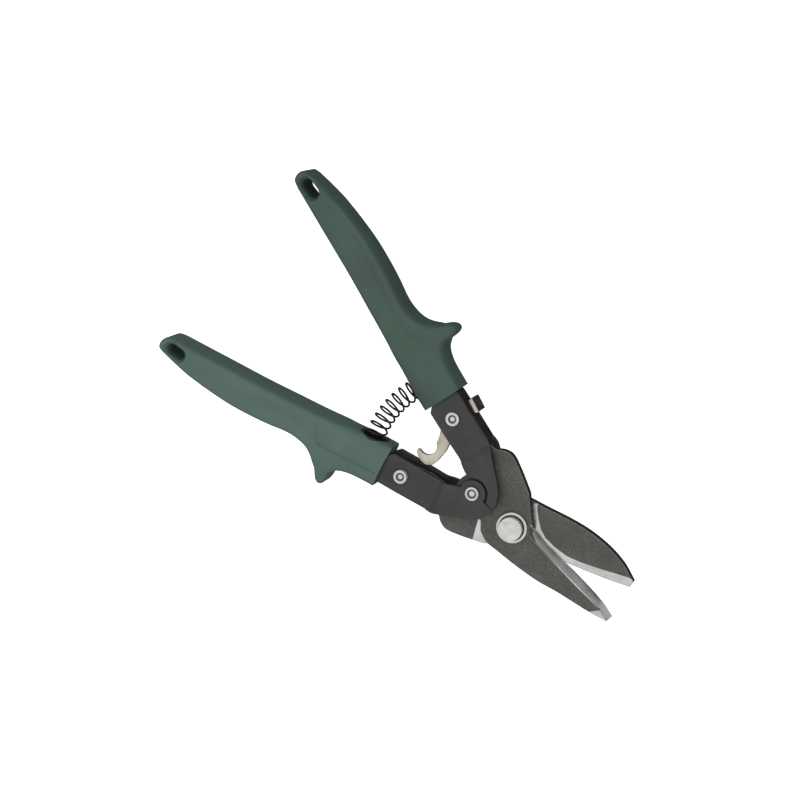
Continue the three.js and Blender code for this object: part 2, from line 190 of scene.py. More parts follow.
def slab(name, outline, low, high, holes=(), edge=0.3, spacing=2.0, guides=(), turn=UPPER, paint=None,
         loop_step=None, wall=0):
    """A plate with rounded edges. low and high are heights, or functions of the points in plan."""
    loops = [resampled(loop, loop_step or spacing) for loop in (outline, *holes)]

    def within(points, margin=0.0):
        kept = inside(points, loops[0])
        for hole in loops[1:]:
            kept &= ~inside(points, hole)
        return kept & (edge_distance(points) >= margin) if margin else kept

    def edge_distance(points):
        return np.min([distance(points, loop, True) for loop in loops], axis=0)

    points, links = [], []
    for loop in loops:
        start = len(points)
        points += list(loop)
        links += [(start + i, start + (i + 1) % len(loop)) for i in range(len(loop))]
    for line in guides:
        dots = resampled(line, min(spacing, 0.6), closed=False)
        kept = within(dots, edge * 0.5)
        for i, dot in enumerate(dots):
            if kept[i]:
                points.append(dot)
                if i and kept[i - 1]:
                    links.append((len(points) - 2, len(points) - 1))
    rings = [edge * share for share in RING_SHARES]
    taken = [np.array(points)]
    for loop in loops:
        along = np.roll(loop, -1, 0) - np.roll(loop, 1, 0)
        across = np.stack([-along[:, 1], along[:, 0]], 1) / np.linalg.norm(along, axis=1)[:, None]
        for inset in rings:
            for side in (1, -1):
                ring = loop + across * inset * side
                taken.append(ring[within(ring, inset * 0.97)])
    corner, far = loops[0].min(0), loops[0].max(0)
    grid = np.array([(x + (row % 2) * spacing / 2, y)
                     for row, y in enumerate(np.arange(corner[1], far[1], spacing * ROW))
                     for x in np.arange(corner[0], far[0], spacing)])
    taken.append(grid[within(grid, edge + spacing * 0.4)])
    cloud = np.vstack(taken)
    flat, _, triangles, *_ = delaunay_2d_cdt([Vector(p) for p in cloud], links, [], 0, 1e-5)
    flat = np.array([tuple(p) for p in flat])
    triangles = np.array([t for t in triangles if len(t) == 3])
    triangles = triangles[within(flat[triangles].mean(1))]

    drop = quarter_round(edge_distance(flat), edge)
    top = (high(flat) if callable(high) else np.full(len(flat), float(high))) - drop
    bottom = (low(flat) if callable(low) else np.full(len(flat), float(low))) + drop
    bottom = np.minimum(bottom, top - THINNEST)
    count = len(flat)
    verts = np.vstack([np.column_stack([flat, top]), np.column_stack([flat, bottom])])
    faces = [tuple(t) for t in triangles] + [(c + count, b + count, a + count) for a, b, c in triangles]
    sides = {}
    for a, b, c in triangles:
        for pair in ((a, b), (b, c), (c, a)):
            sides[pair] = True
    faces += [(b, a, a + count, b + count) for a, b in sides if (b, a) not in sides]
    used = sorted({v for face in faces for v in face})
    renamed = {v: i for i, v in enumerate(used)}
    faces = [tuple(renamed[v] for v in face) for face in faces]
    index = None
    if paint:
        n = len(triangles)
        centres = flat[triangles].mean(1)
        index = [int(k) for k in paint(centres, True)] + [int(k) for k in paint(centres, False)]
        index += [wall] * (len(faces) - 2 * n)
    return finished(name, verts[used], faces, turn, index)


def lathe(name, profile, centre=BOLT, turn=UPPER, closed=False):
    """A turned piece. The profile runs (radius, height), and a closed one is a ring's section."""
    steps = LATHE_STEPS
    verts, faces, rows = [], [], []
    for radius, height in profile:
        if radius < 1e-6:
            rows.append([len(verts)] * steps)
            verts.append((*centre, height))
        else:
            rows.append(list(range(len(verts), len(verts) + steps)))
            verts += [(*polar(centre, radius, 360 * k / steps), height) for k in range(steps)]
    for a, b in zip(rows, rows[1:] + ([rows[0]] if closed else [])):
        for k in range(steps):
            face = list(dict.fromkeys([a[k], a[(k + 1) % steps], b[(k + 1) % steps], b[k]]))
            faces.append(tuple(face))
    return finished(name, verts, faces, turn)


def combined(first, second, operation):
    """first with second added or taken away. second is used up."""
    cutter = first.modifiers.new("cut", "BOOLEAN")
    cutter.operation, cutter.object, cutter.solver = operation, second, "MANIFOLD"
    bpy.context.view_layer.update()
    depsgraph = bpy.context.evaluated_depsgraph_get()
    mesh = bpy.data.meshes.new_from_object(first.evaluated_get(depsgraph))
    first.modifiers.clear()
    first.data = mesh
    bpy.data.objects.remove(second)
    shade(first)
    return first


# ---- materials ----
COLOUR_A, COLOUR_B, COLOUR_OUT = 6, 7, 2        # a Mix node's sockets for colours
NUMBER_A, NUMBER_B, NUMBER_OUT = 2, 3, 0        # and for numbers


def linear(red, green, blue):
    """sRGB values out of 255 as linear colour."""
    return (*(((c / 255 + 0.055) / 1.055) ** 2.4 if c > 10 else c / 255 / 12.92
              for c in (red, green, blue)), 1.0)


def surface(name, dark, light, rough, metallic=0.0, grain=2500, bump=0.00002, broad=60, stretch=(1, 1, 1),
            turned=0.0, wear=None, wear_radius=0.0004, wear_rough=0.3, specular=0.5, speckle=0.25):
    """A procedural finish in the part's own metres: broad and fine colour, roughness, bump and edge wear."""
    made = bpy.data.materials.new(name)
    made.use_nodes = True
    nodes, link = made.node_tree.nodes, made.node_tree.links.new
    shader = nodes["Principled BSDF"]
    shader.inputs["Metallic"].default_value = metallic
    shader.inputs["Specular IOR Level"].default_value = specular
    place = nodes.new("ShaderNodeTexCoord")
    mapped = nodes.new("ShaderNodeMapping")
    mapped.inputs["Rotation"].default_value = (0, 0, math.radians(turned))
    mapped.inputs["Scale"].default_value = stretch
    link(place.outputs["Object"], mapped.inputs["Vector"])

    def noise(scale, detail, vector):
        node = nodes.new("ShaderNodeTexNoise")
        node.inputs["Scale"].default_value = scale
        node.inputs["Detail"].default_value = detail
        link(vector, node.inputs["Vector"])
        return node.outputs["Fac"]

    def spread(value, low, high, start=0.3, end=0.7):
        node = nodes.new("ShaderNodeMapRange")
        for socket, number in (("From Min", start), ("From Max", end), ("To Min", low), ("To Max", high)):
            node.inputs[socket].default_value = number
        link(value, node.inputs["Value"])
        return node.outputs["Result"]

    def mixed(factor, a, b):
        node = nodes.new("ShaderNodeMix")
        node.data_type = "RGBA"
        link(factor, node.inputs["Factor"])
        for socket, value in ((node.inputs[COLOUR_A], a), (node.inputs[COLOUR_B], b)):
            if isinstance(value, tuple):
                socket.default_value = value
            else:
                link(value, socket)
        return node.outputs[COLOUR_OUT]

    fine = noise(grain, 3, mapped.outputs["Vector"])
    wide = noise(broad, 4, place.outputs["Object"])
    colour = mixed(spread(wide, 0, 1), dark, light)
    shadow = tuple(c * 0.6 for c in dark[:3]) + (1.0,)
    colour = mixed(spread(fine, speckle, 0), colour, shadow)
    roughness = spread(wide, *rough)
    if wear:
        soft = nodes.new("ShaderNodeBevel")
        soft.samples = 4
        soft.inputs["Radius"].default_value = wear_radius
        geometry = nodes.new("ShaderNodeNewGeometry")
        dot = nodes.new("ShaderNodeVectorMath")
        dot.operation = "DOT_PRODUCT"
        link(soft.outputs["Normal"], dot.inputs[0])
        link(geometry.outputs["Normal"], dot.inputs[1])
        edge = spread(dot.outputs["Value"], 1, 0, 0.86, 0.985)
        patchy = nodes.new("ShaderNodeMath")
        patchy.operation = "MULTIPLY"
        link(edge, patchy.inputs[0])
        link(spread(noise(700, 3, place.outputs["Object"]), 0.35, 1, 0.35, 0.6), patchy.inputs[1])
        colour = mixed(patchy.outputs["Value"], colour, wear)
        blend = nodes.new("ShaderNodeMix")
        link(patchy.outputs["Value"], blend.inputs["Factor"])
        link(roughness, blend.inputs[NUMBER_A])
        blend.inputs[NUMBER_B].default_value = wear_rough
        roughness = blend.outputs[NUMBER_OUT]
    link(colour, shader.inputs["Base Color"])
    link(roughness, shader.inputs["Roughness"])
    relief = nodes.new("ShaderNodeBump")
    relief.inputs["Distance"].default_value = bump
    link(fine, relief.inputs["Height"])
    link(relief.outputs["Normal"], shader.inputs["Normal"])
    return made


# Both sleeves are one green plastic in two shades: the upper sleeve's darker colours are painted shade and the
# lower sleeve's lighter colours are painted light, for how the light falls on each side.
SLEEVES_LIT_AND_SHADED = {side: surface(f"sleeve_painted_light_and_shade_{side}", linear(*dark), linear(*light), (0.5, 0.6), grain=3200,
                         bump=0.00003, broad=45, wear=linear(*worn), wear_radius=0.0005, wear_rough=0.45,
                         specular=0.35, speckle=0.12)
           for side, dark, light, worn in (("upper", (54, 73, 64), (62, 83, 73), (84, 106, 96)),
                                           ("lower", (70, 92, 82), (78, 101, 91), (102, 126, 116)))}
FRAME_PAINT = surface("black_paint", linear(54, 54, 55), linear(66, 66, 66), (0.42, 0.55), grain=4200,
                      bump=0.00002, broad=90, wear=linear(120, 120, 120), wear_radius=0.00025,
                      wear_rough=0.35, specular=0.22, speckle=0.3)
# The black paint again, darker, for the frame's upright side faces: painted shade.
FRAME_SIDE_SHADE = surface("black_paint_painted_side_shade", linear(22, 22, 22), linear(32, 32, 32), (0.3, 0.42), grain=4200,
                     bump=0.00001, broad=120, wear=linear(96, 96, 96), wear_radius=0.00025,
                     wear_rough=0.35, specular=0.3, speckle=0.2)
PHOSPHATE = surface("phosphated_steel", linear(80, 79, 76), linear(104, 103, 99), (0.45, 0.6), metallic=0.45,
                    grain=1500, bump=0.00003, broad=70, stretch=(0.6, 1, 1), turned=8,
                    wear=linear(190, 189, 185), wear_radius=0.0004, wear_rough=0.3, speckle=0.8)
# Near-black for the blades' side walls: painted shade.
BLADE_WALL_SHADE = surface("blade_wall_painted_shade", linear(26, 26, 26), linear(40, 39, 38), (0.5, 0.65), metallic=0.1,
                grain=2600, bump=0.00002, broad=200, specular=0.2, speckle=0.3)
GROUND = surface("ground_steel", linear(186, 186, 184), linear(222, 222, 220), (0.2, 0.34), metallic=1.0,
                 grain=2600, bump=0.00001, broad=120, stretch=(1, 0.08, 1), turned=-20, speckle=0.25)
STEEL = surface("polished_steel", linear(196, 196, 192), linear(226, 226, 223), (0.16, 0.28), metallic=1.0,
                grain=2400, bump=0.000008, broad=300, wear=linear(240, 240, 238), speckle=0.18)
# Darker steel for the sunk rings of the rivet heads and washers: painted shade.
RECESS_SHADE = surface("steel_painted_recess_shade", linear(66, 66, 64), linear(112, 111, 108), (0.35, 0.5), metallic=0.7,
                 grain=2400, bump=0.00001, broad=500, speckle=0.4)
NICKEL = surface("polished_nickel", linear(150, 142, 124), linear(214, 208, 196), (0.16, 0.3), metallic=1.0,
                 grain=1800, bump=0.00001, broad=110, stretch=(1, 0.15, 1), wear=linear(232, 228, 220),
                 wear_rough=0.15, speckle=0.2)
# Darker nickel for the ribbed face of the thumb tab: painted shade in the ribs and a painted dark reflection.
SHADED_KNURL = surface("knurled_nickel_painted_shade", linear(70, 66, 58), linear(112, 107, 95), (0.34, 0.5), metallic=0.8,
                grain=2600, bump=0.00006, broad=240, stretch=(0.3, 1, 0.3), turned=25, speckle=0.5)
WIRE = surface("oiled_wire", linear(14, 14, 14), linear(26, 26, 27), (0.3, 0.45), metallic=0.3, grain=3000,
               bump=0.00001, broad=400, speckle=0.2)
CUP = surface("black_nylon", linear(20, 20, 20), linear(30, 30, 30), (0.42, 0.55), grain=3500,
              bump=0.00002, broad=150, wear=linear(70, 70, 70), speckle=0.15)


def give(piece, materials, body, slot_name, *nodes):
    """The finish, the body that it rides on, and the CAD nodes that it stands for."""
    faces = piece.data.polygons
    index = np.zeros(len(faces), np.int32)
    faces.foreach_get("material_index", index)
    piece.data.materials.clear()
    for one in materials if isinstance(materials, tuple) else (materials,):
        piece.data.materials.append(one)
    faces.foreach_set("material_index", index)
    if body:
        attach(piece, body)
    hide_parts(*nodes)


def repaint(piece, chosen, slot):
    """Gives the faces for which chosen is true another of the piece's materials."""
    for face in piece.data.polygons:
        if chosen(face):
            face.material_index = slot


def ringed(piece, centre, turn, inner, outer):
    """Paints shade into the recess between two radii in millimetres about an axis along Z."""
    x, y, _ = turn @ Vector((*centre, 0))

    def recessed(face):
        away = math.hypot(face.center.x / MM - x, face.center.y / MM - y)
        return inner < away < outer and abs(face.normal.z) > 0.1

    repaint(piece, recessed, 1)


# ---- handle frame ----
PLATE = 1.8
WEB = 2.0
CHANNEL_IN, CHANNEL_OUT = 4.8, 6.6
EAR_IN, EAR_OUT = 7.1, 8.9
DISH_FLOOR, DISH_R, DISH_RIM_R = 6.8, 7.6, 8.8
DISH_SINK = 2.1                 # how far the ear's under side drops to meet the dish
HINGE_DISC_R = 6.3
LATCH_SLOT = [(-56.6, 22), (-45.6, 22), (-45.6, 31), (-56.6, 31)]
LATCH_SLOT_LOW, LATCH_SLOT_HIGH = -3.8, -0.6
BEND_R = 2.0                    # outside of the channel's folded corners
CORE_TURN = 163.4               # degrees from +X, along the handle's core
CORE_START, CORE_LENGTH = (-62.0, 21.5), 92.0
CORE_LOW, CORE_HIGH = -4.0, 4.6
BEND_INNER, BEND_OUTER = (-37.8, 6.9), (-32.7, 22.1)
BEND_REACH = (-2.2, 2.4)        # how far the slope at the bend runs to each side
EAR_SHOULDER = [(-26.6, 17.7), (-18.6, 11.9), (-14.6, 8.1), (-12.3, 3.6)]
TANG_RIVET_R, HINGE_RIVET_R = 1.7, 2.6


def core(along, across):
    return polar(polar(CORE_START, along, CORE_TURN), across, CORE_TURN - 90)


def spine_line(depth):
    """The channel's folded edge, moved this far into the channel."""
    dx, dy = polar((0, 0), depth, CORE_TURN - 90)
    return [(-36 - dx * 0.3, 23.3 - dy), (-50.3 - dx, 27.3 - dy), (-60.7 - dx, 30 - dy),
            core(13, CORE_HIGH - depth), core(CORE_LENGTH, CORE_HIGH - depth)]


def side_outline(stop, tail):
    """One side of the channel and its ear, which ends in an open stop face."""
    return [*spine_line(0), core(CORE_LENGTH, CORE_LOW), core(13, CORE_LOW), (-66.6, 18.6), (-63.6, 13.4),
            (-52, 10.3), BEND_INNER, *tail, (-11.7, stop), *reversed(EAR_SHOULDER), BEND_OUTER]


def ear_step(points):
    """Nought on the channel's side and one on the ear, over the slope at the bend."""
    a, b = np.array(BEND_INNER), np.array(BEND_OUTER)
    along = (b - a) / np.linalg.norm(b - a)
    past = (points - a) @ np.array([along[1], -along[0]])
    return ease(past, *BEND_REACH)


def bend_guides():
    forward = CORE_TURN - 180
    return [[polar(BEND_INNER, d, forward), polar(BEND_OUTER, d, forward)]
            for d in np.linspace(*BEND_REACH, 6)]


def fold(points):
    return quarter_round(distance(points, spine_line(0)), BEND_R)


def handle_frame(side, turn):
    near_outline = rounded(side_outline(0.9, [(-30.5, 4), (-24, 0.9)]), 0.6, 4)
    far_outline = rounded(side_outline(-0.6, [(-31.1, 2.2), (-20, -0.6)]), 0.6, 4)
    rise = EAR_OUT - CHANNEL_OUT
    folds = [spine_line(d) for d in (0.15, 0.5, 1.1, 2.0)]
    holes = [circle(TANG, TANG_RIVET_R + CLEAR, 32), circle(HINGE, HINGE_RIVET_R + CLEAR, 40)]

    def dish(points):
        away = np.linalg.norm(points - np.array(HINGE), axis=1)
        return (EAR_OUT - DISH_FLOOR) * (1 - ramp(away, DISH_R - 0.5, DISH_R + 0.1))

    def near_top(points):
        return CHANNEL_OUT + rise * ear_step(points) - dish(points) - fold(points) - 0.01

    def near_under(points):
        away = np.linalg.norm(points - np.array(HINGE), axis=1)
        sunk = DISH_SINK * (1 - ramp(away, DISH_RIM_R - 0.6, DISH_RIM_R))
        return CHANNEL_IN + rise * ear_step(points) - sunk

    seat = [circle(HINGE, r, 72) + [polar(HINGE, r, 0)] for r in (7.1, 7.7, 8.2, 8.8)]
    near = slab(f"{side}_frame", near_outline, near_under, near_top, holes, 0.3, 2.4,
                folds + bend_guides() + seat, turn, loop_step=1.6)
    ring = slab("dish", circle(HINGE, DISH_RIM_R, 72), DISH_FLOOR - PLATE, DISH_FLOOR, holes[1:], 0.25, 2.0,
                turn=turn)
    combined(near, ring, "UNION")
    far = slab("far_side", far_outline, lambda p: 0.01 + fold(p) - CHANNEL_OUT - rise * ear_step(p),
               lambda p: -CHANNEL_IN - rise * ear_step(p), holes, 0.3, 2.4, folds + bend_guides(), turn,
               loop_step=1.6)
    combined(near, far, "UNION")
    disc = slab("disc", circle(HINGE, HINGE_DISC_R, 64), -EAR_OUT, -EAR_IN, holes[1:], 0.25, 2.0, turn=turn)
    combined(near, disc, "UNION")
    strip = rounded(spine_line(0) + spine_line(3.5)[::-1], 0.7, 4)
    web = slab("web", strip, lambda p: -CHANNEL_OUT + fold(p), lambda p: CHANNEL_OUT - fold(p), (), 0.05, 2.0,
               folds, turn, loop_step=1.6)
    hollow = slab("hollow", spine_line(WEB) + spine_line(6)[::-1], -CHANNEL_IN, CHANNEL_IN, (), 0.02, 4.0,
                  turn=turn)
    combined(web, hollow, "DIFFERENCE")
    combined(near, web, "UNION")
    slot_cut = slab("slot", LATCH_SLOT, LATCH_SLOT_LOW, LATCH_SLOT_HIGH, (), 0.02, 4.0, turn=turn)
    combined(near, slot_cut, "DIFFERENCE")
    give(near, (FRAME_PAINT, FRAME_SIDE_SHADE), f"{side}_handle", "black_frame", f"{side}_handle_frame")
    # the upright side faces take the darker paint, which is painted shade
    repaint(near, lambda face: abs(face.normal.z) < 0.45, 1)


# ---- grip ----
GRIP_HALF = 10.0
GRIP_ROUND = 2.3
GRIP_OUTER = [(-180, 57.6), (-172, 57.6), (-162, 57.1), (-151, 55.6), (-138, 53), (-126.5, 49.6),
              (-117, 46.2), (-110.4, 43.4), (-104.7, 41.8), (-98.4, 41.4), (-93.5, 42.8), (-88, 46.3)]
FINGER_STOP = [(-88, 46.3), (-85, 50.2), (-82.4, 51.6), (-80.4, 50.8), (-79.9, 48.3), (-80.8, 43.6)]
GRIP_NECK = [(-80.8, 43.6), (-78.7, 39.6), (-74.2, 36.6), (-68, 34.3), (-57.2, 31.1)]
GRIP_INNER = [(-62.4, 11.2), (-72.9, 14.1), (-85, 18.4), (-100.5, 24.4), (-118, 30.2), (-134.5, 35.6),
              (-152, 40.8), (-168.7, 45.8), (-179.2, 48.9)]
GRIP_END = [(-179.2, 48.9), (-182.9, 50.8), (-183.9, 54), (-182.8, 56.9), (-180, 57.6)]
# the sleeve's front end is cut back to the line from (-66.3, 12.3) to (-61, 32.2)
FRONT_CUT = [(-67.8, 6.5), (-53.8, 2.8), (-45.5, 34.3), (-59.5, 38)]
HANG_HOLE, HANG_R, HANG_HALF, HANG_TURN = (-174.8, 53.0), 2.7, 2.2, 172
VALLEY_DEPTH, VALLEY_WIDTH = {"upper": 1.3, "lower": 0.85}, 3.2
MARK_RISE, MARK_WIDTH = {"upper": 0.3, "lower": -0.5}, 0.42     # a raised line above, a groove below
RIM_DROP, RIM_IN, RIM_OUT = 0.7, 1.1, 1.5       # the sunk rim round the hanging hole
STOP_DROP, WAIST_DROP = 2.6, 0.5                # how much thinner the finger stop and the neck are
VALLEY = [(-158, 52.6), (-150, 51), (-138, 47.6), (-125, 42.6), (-112, 37.2), (-99.5, 34), (-90, 34)]
PANEL_LINE = [(-94.5, 34.9), (-80, 31.8), (-66.5, 28.6)]
GROOVE = [(-63.7, 26.7), (-78, 31.2), (-92.3, 35.5), (-98.2, 33.2), (-98.9, 27.8)]
CUP_FACE, CUP_TILT, CUP_DEPTH = (-76.8, 15.6), 20, 4.7
CUP_R, CUP_BORE_R, CUP_FLANGE_R, CUP_FLANGE = 6.2, 5.5, 7.0, 0.9


def hang_outline(grow=0.0):
    ends = [polar(HANG_HOLE, HANG_HALF, HANG_TURN + turn) for turn in (0, 180)]
    return [*arc(ends[0], HANG_R + grow, HANG_TURN - 90, HANG_TURN + 90, 14),
            *arc(ends[1], HANG_R + grow, HANG_TURN + 90, HANG_TURN + 270, 14)]


def grip_outline():
    parts = [smooth(GRIP_OUTER)[:-1], smooth(FINGER_STOP)[:-1], smooth(GRIP_NECK), smooth(GRIP_INNER)[:-1],
             smooth(GRIP_END)[:-1]]
    return [point for part in parts for point in part]


def cup_place(turn):
    """Carries a piece turned about Z to the cup's own axis, which leans from Y."""
    lean = math.radians(CUP_TILT)
    z = Vector((math.sin(lean), math.cos(lean), 0))
    y = Vector((0, 0, 1))
    x = y.cross(z)
    place = Matrix((x, y, z)).transposed().to_4x4()
    place.translation = (*CUP_FACE, 0)
    return turn @ place


def grip(side, turn):
    mark = PANEL_LINE if side == "upper" else GROOVE
    marks = smooth(mark, 6)

    def half(points):
        valley = VALLEY_DEPTH[side] * np.exp(-(distance(points, smooth(VALLEY)) / VALLEY_WIDTH) ** 2)
        rim = RIM_DROP * (1 - ease(distance(points, hang_outline(), True), RIM_IN, RIM_OUT))
        off_axis = distance(points, [(-70, 30), (-98, 36)])
        stop = STOP_DROP * ease(off_axis, 8.5, 17) * ease(points[:, 0], -96, -86)
        waist = WAIST_DROP * ease(points[:, 0], -84, -70) * ease(points[:, 1], 24, 31)
        line = np.exp(-(distance(points, marks) / MARK_WIDTH) ** 2)
        level = GRIP_HALF - 0.3 + MARK_RISE[side] * line
        return level - valley - rim - stop - waist

    ridges = [marks, *(hang_outline(d) + hang_outline(d)[:1] for d in (RIM_IN, RIM_OUT))]
    beside = [[(x + dx, y + dy) for x, y in marks] for dx, dy in ((0.2, 0.5), (-0.2, -0.5), (0.1, 0.25),
                                                                 (-0.1, -0.25))]
    body = slab(f"{side}_sleeve", grip_outline(), lambda p: -half(p), half, [hang_outline()], GRIP_ROUND, 1.7,
                ridges + beside, turn, loop_step=1.1)
    front = slab("front", FRONT_CUT, -11, 11, (), 0.02, 6.0, turn=turn)
    combined(body, front, "DIFFERENCE")
    pocket_outline = [(-30, 23.3 + CLEAR), (-50.3, 27.3 + CLEAR), (-60.7, 30 + CLEAR),
                      core(13, CORE_HIGH + CLEAR), core(CORE_LENGTH + CLEAR, CORE_HIGH + CLEAR),
                      core(CORE_LENGTH + CLEAR, CORE_LOW - CLEAR), core(13, CORE_LOW - CLEAR),
                      (-66.6, 18.6 - CLEAR), (-63.6, 13.4 - CLEAR), (-52, 10.3 - CLEAR), (-30, 3)]
    pocket = slab("pocket", pocket_outline, -CHANNEL_OUT - CLEAR, CHANNEL_OUT + CLEAR, (), 0.02, 5.0,
                  turn=turn)
    combined(body, pocket, "DIFFERENCE")
    bore = lathe("bore", [(0, -3), (CUP_FLANGE_R + CLEAR, -3), (CUP_FLANGE_R + CLEAR, 1.3),
                          (CUP_R + CLEAR, 1.3), (CUP_R + CLEAR, CUP_DEPTH + CLEAR), (0, CUP_DEPTH + CLEAR)],
                 turn=cup_place(turn))
    combined(body, bore, "DIFFERENCE")
    # the sleeve takes its side's colours, painted shade above and painted light below
    give(body, SLEEVES_LIT_AND_SHADED[side], f"{side}_handle", "grip_sleeve", f"{side}_grip")


def spring_cup(side, turn):
    floor = CUP_DEPTH - 0.8
    profile = [(0, floor), (5.2, floor), (CUP_BORE_R, floor - 0.3), (CUP_BORE_R, 0.4), (5.8, 0.12),
               (6.7, 0.1), (CUP_FLANGE_R, 0.35), (CUP_FLANGE_R, 0.1 + CUP_FLANGE), (CUP_R, 0.1 + CUP_FLANGE),
               (CUP_R, CUP_DEPTH - 0.3), (5.9, CUP_DEPTH), (0, CUP_DEPTH)]
    made = lathe(f"{side}_cup", profile, turn=cup_place(turn))
    give(made, CUP, f"{side}_handle", "black_plastic", f"{side}_spring_cup")


# ---- blades ----
BLADE_IN, BLADE_OUT = 0.15, 4.4
BEVEL_RUN = 2.6
FRONT_HOLE_R, REAR_HOLE_R = 5.3, 5.6
TANG_OUTER = [(-37.4, 20.4), (-34.4, 21.8), (-29.9, 22.4), (-26.5, 24.6), (-22.2, 25.4), (-15.8, 23),
              (-10.2, 20.3), (-4.7, 17.5)]
TANG_INNER = [(-13.4, -7.8), (-17.4, -2.5), (-18.7, 2.5), (-19.2, 5.8), (-21.5, 7.2), (-25, 7.6), (-33, 8.2),
              (-44, 9.6)]
FRONT_EDGE = [(8.4, 5.6), (19, 4.4), (40, 3.9), (53.3, 2.9), (61.6, 0.9)]
FRONT_BACK = [(61.2, -1.6), (52.3, -4.2), (36.1, -7.8), (25.1, -10.8), (13.1, -12.7), (3, -13.7),
              (-4.1, -14.2), (-9.6, -12.2)]
REAR_EDGE = [(8.4, 5.6), (12.5, 3.6), (18, 0.9), (28.2, -3.8), (46.7, -11.5), (58.1, -17.1)]
REAR_BACK = [(57.6, -19.9), (48.7, -22.8), (38.8, -23.8), (27.9, -23), (17.4, -20.6), (5.8, -16.9),
             (-3.9, -14), (-9.6, -12.2)]
# where the rear blade's ground strip meets the dark face, from the tip to the root
REAR_STRIP = [(56.5, -20.6), (53.7, -19.5), (44, -14.2), (34, -9.2), (27.5, -6.7), (20.5, -5.8), (14.5, -5.9),
              (10, -7.6), (6.4, -10.1), (2.5, -13.4), (1, -15.5)]
REAR_ROOT = [(-3, -8), (3.5, 7), (5.5, 12)]     # the strip's inner end
REAR_HEEL = [(-14.3, 10.3), (-9.5, 20.2), (-8, 22), (2, 20), (4, 10), (-6, 8)]
# where the front blade's dark face ends, along its ground bevel and then across its tip
FRONT_DARK = [(5.6, 6.8), (8.9, 4), (13.4, 2.4), (20.4, 1.9), (29.8, 1.2), (42.2, 0.6), (55.6, 0.5),
              (52, -4.4)]


def blade_outline(edge, back):
    outer_end = CORE_TURN - 90
    return [*arc(TANG, 6, outer_end, outer_end + 180, 20), *smooth(TANG_INNER, 4)[::-1],
            *smooth(back, 4)[::-1], *smooth(edge, 4)[::-1], (5.1, 8.2), (0, 13), *smooth(TANG_OUTER, 4)[::-1]]


def ground_top(edge):
    line = smooth(edge, 4)
    slope = (BLADE_OUT - BLADE_IN - 0.1) / BEVEL_RUN
    return lambda p: np.minimum(BLADE_OUT, BLADE_IN + 0.1 + slope * distance(p, line))


def strip_guide(line, inset):
    p = np.array(smooth(line, 4))
    along = np.gradient(p, axis=0)
    across = np.stack([along[:, 1], -along[:, 0]], 1) / np.linalg.norm(along, axis=1)[:, None]
    return [tuple(q) for q in p + across * inset]


def blade(name, edge, back, hole_r, turn, paint, guides, body, node):
    outline = blade_outline(edge, back)
    holes = [circle(BOLT, hole_r, 48), circle(TANG, TANG_RIVET_R + CLEAR, 32)]
    # the side walls take the third finish, the painted shade
    made = slab(name, outline, BLADE_IN, ground_top(edge), holes, 0.22, 1.8,
                [strip_guide(edge, BEVEL_RUN), *guides], turn, paint, loop_step=1.2, wall=2)
    give(made, (PHOSPHATE, GROUND, BLADE_WALL_SHADE), body, "blade_steel", node)


def front_paint(centres, near):
    if near:
        return inside(centres, [*FRONT_DARK, (53, -9), (66, -6), (66, 8), (6, 12)])
    return (centres[:, 0] > 12) & (distance(centres, smooth(FRONT_EDGE, 4)) < BEVEL_RUN)


def rear_paint(centres, near):
    if near:
        return distance(centres, smooth(REAR_EDGE, 4)) < BEVEL_RUN
    cutting = [*REAR_STRIP, *REAR_ROOT, (20, 12), (40, 2), (66, -10), (64, -22.5)]
    return inside(centres, cutting) | inside(centres, REAR_HEEL)


# ---- fasteners ----
RIVET_HEAD_R, RIVET_HEAD = 3.3, 0.8
TANG_RIVET_NEAR, TANG_RIVET_FAR, TANG_DIMPLE = 7.7, -8.6, 1.7
HINGE_RIVET_END, HINGE_DIMPLE = 10.0, 1.9
# washers: outer and inner radius, lower and upper face, width of the lip that stands proud
PIN_WASHER = (3.3, 2.0, -7.5, -6.9, 0.1)
SPACER = (4.0, 2.0, -4.5, -3.7, 0.1)
HEAD_WASHER = (7.4, 5.3, 4.7, 6.0, 0.9)
NUT_WASHER = (7.4, 4.3, -6.0, -4.7, 0.1)
LIP_SHOWS = 0.3                 # a lip wider than this has a sunk face inside it
BOLT_HEAD_R, BOLT_SEAT, BOLT_TOP, BOLT_DIMPLE = 5.6, 6.3, 9.0, 2.6
SHANK_R, THREAD_R, THREAD_END_R = 5, 4, 3.6
SHANK_LOW, SHANK_HIGH, THREAD_LOW = -4.4, 8, -10
NUT_FLATS, NUT_LOW, NUT_HIGH, NUT_BORE_R = 13, -10, -6.3, 4.3


def button(name, centre, radius, base, top, dimple, turn=UPPER, far=False, depth=0.45):
    """A turned head, from its flat base to a face with a groove round its middle."""
    sign = -1 if far else 1
    profile = [(0, base), (radius, base), (radius, top - 0.35 * sign), (radius - 0.1, top - 0.14 * sign),
               (radius - 0.35, top - 0.03 * sign), (radius - 0.6, top), (dimple + 0.35, top - 0.05 * sign),
               (dimple + 0.1, top - 0.2 * sign), (dimple - 0.15, top - depth * sign),
               (dimple - 0.45, top - depth * sign), (dimple * 0.55, top - 0.16 * sign),
               (dimple * 0.3, top - 0.06 * sign), (0, top - 0.02 * sign)]
    return lathe(name, profile, centre, turn=turn)


def rivet(name, centre, shank, head, near, far, height, dimple, turn, body, node):
    made = button(name, centre, head, near - height, near, dimple, turn)
    other = button("far_head", centre, head, far + height, far, dimple, turn, far=True)
    pin = lathe("shank", [(0, far + 0.4), (shank, far + 0.4), (shank, near - 0.4), (0, near - 0.4)], centre,
                turn=turn)
    combined(combined(made, pin, "UNION"), other, "UNION")
    give(made, (STEEL, RECESS_SHADE), body, "bright_steel", node)
    ringed(made, centre, turn, dimple - 0.5, dimple + 0.4)


